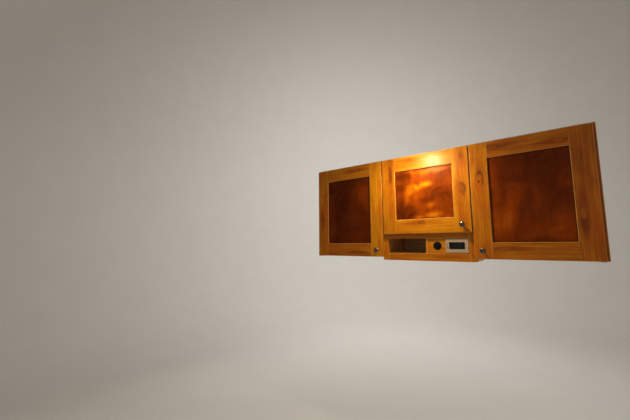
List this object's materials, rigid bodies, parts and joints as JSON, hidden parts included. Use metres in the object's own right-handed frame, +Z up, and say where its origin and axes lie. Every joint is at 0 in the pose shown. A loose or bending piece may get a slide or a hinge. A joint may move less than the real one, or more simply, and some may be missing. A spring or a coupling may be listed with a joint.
{
  "type": "overhead cabinet",
  "caption": "Wall-hung overhead cabinet for a camper: framed doors on pivot hinges over curved-top compartments, with an open cubby and a small control panel.",
  "frame": {"origin": "centre of the four wall bolts, on the cabinet's rear face", "axes": "+X to the right seen from the front, along the cabinet's width; +Y into the wall, so the doors face -Y; +Z up"},
  "size_m": [1.488, 0.346, 0.615],
  "materials": {
    "stained_wood": "satin",
    "stained_panel": "semi-gloss",
    "rail_wood": "matte",
    "carcass_ply": "satin",
    "roof_ply": "satin",
    "hinge_steel": "satin",
    "magnet": "satin",
    "knob_chrome": "polished",
    "bumper_rubber": "matte",
    "outlet_plastic": "satin",
    "cap_rubber": "matte",
    "bezel_aluminium": "satin",
    "screen": "gloss"
  },
  "bodies": {
    "cabinet": {"back_panel": "carcass_ply", "catch_magnets": "magnet", "control_panel": "stained_wood", "cubby_bottom_rail": "stained_wood", "cubby_divider": "stained_wood", "cubby_floor": "carcass_ply", "cubby_top_rail": "stained_wood", "display_bezel": "bezel_aluminium", "display_screen": "screen", "frame_top_rail": "stained_wood", "left_bottom_rail": "stained_wood", "left_compartment_floor": "carcass_ply", "left_end_panel": "carcass_ply", "left_end_stile": "stained_wood", "left_hinge_brackets": "hinge_steel", "left_middle_stile": "stained_wood", "left_partition": "carcass_ply", "lower_hanging_rail": "rail_wood", "middle_compartment_floor": "carcass_ply", "middle_hinge_brackets": "hinge_steel", "outlet_body": "outlet_plastic", "outlet_cap": "cap_rubber", "right_bottom_rail": "stained_wood", "right_compartment_floor": "carcass_ply", "right_end_panel": "carcass_ply", "right_end_stile": "stained_wood", "right_hinge_brackets": "hinge_steel", "right_middle_stile": "stained_wood", "right_partition": "carcass_ply", "roof_skin": "roof_ply", "upper_hanging_rail": "rail_wood"},
    "left_door": {"left_door_bottom_rail": "stained_wood", "left_door_bumpers": "bumper_rubber", "left_door_free_stile": "stained_wood", "left_door_hinge_leaves": "hinge_steel", "left_door_hinge_stile": "stained_wood", "left_door_knob": "knob_chrome", "left_door_panel": "stained_panel", "left_door_strike": "hinge_steel", "left_door_top_rail": "stained_wood"},
    "middle_door": {"middle_door_bottom_rail": "stained_wood", "middle_door_bumpers": "bumper_rubber", "middle_door_free_stile": "stained_wood", "middle_door_hinge_leaves": "hinge_steel", "middle_door_hinge_stile": "stained_wood", "middle_door_knob": "knob_chrome", "middle_door_panel": "stained_panel", "middle_door_strike": "hinge_steel", "middle_door_top_rail": "stained_wood"},
    "right_door": {"right_door_bottom_rail": "stained_wood", "right_door_bumpers": "bumper_rubber", "right_door_free_stile": "stained_wood", "right_door_hinge_leaves": "hinge_steel", "right_door_hinge_stile": "stained_wood", "right_door_knob": "knob_chrome", "right_door_panel": "stained_panel", "right_door_strike": "hinge_steel", "right_door_top_rail": "stained_wood"}
  },
  "joints": [
    {"name": "left_door_hinge", "type": "hinge", "parent": "cabinet", "child": "left_door", "pos_m": [-0.727, -0.315, 0], "axis": [0, 0, -1], "range_deg": [0, 95]},
    {"name": "middle_door_hinge", "type": "hinge", "parent": "cabinet", "child": "middle_door", "pos_m": [-0.237, -0.315, 0], "axis": [0, 0, -1], "range_deg": [0, 95]},
    {"name": "right_door_hinge", "type": "hinge", "parent": "cabinet", "child": "right_door", "pos_m": [0.727, -0.315, 0], "axis": [0, 0, 1], "range_deg": [0, 95]}
  ]
}
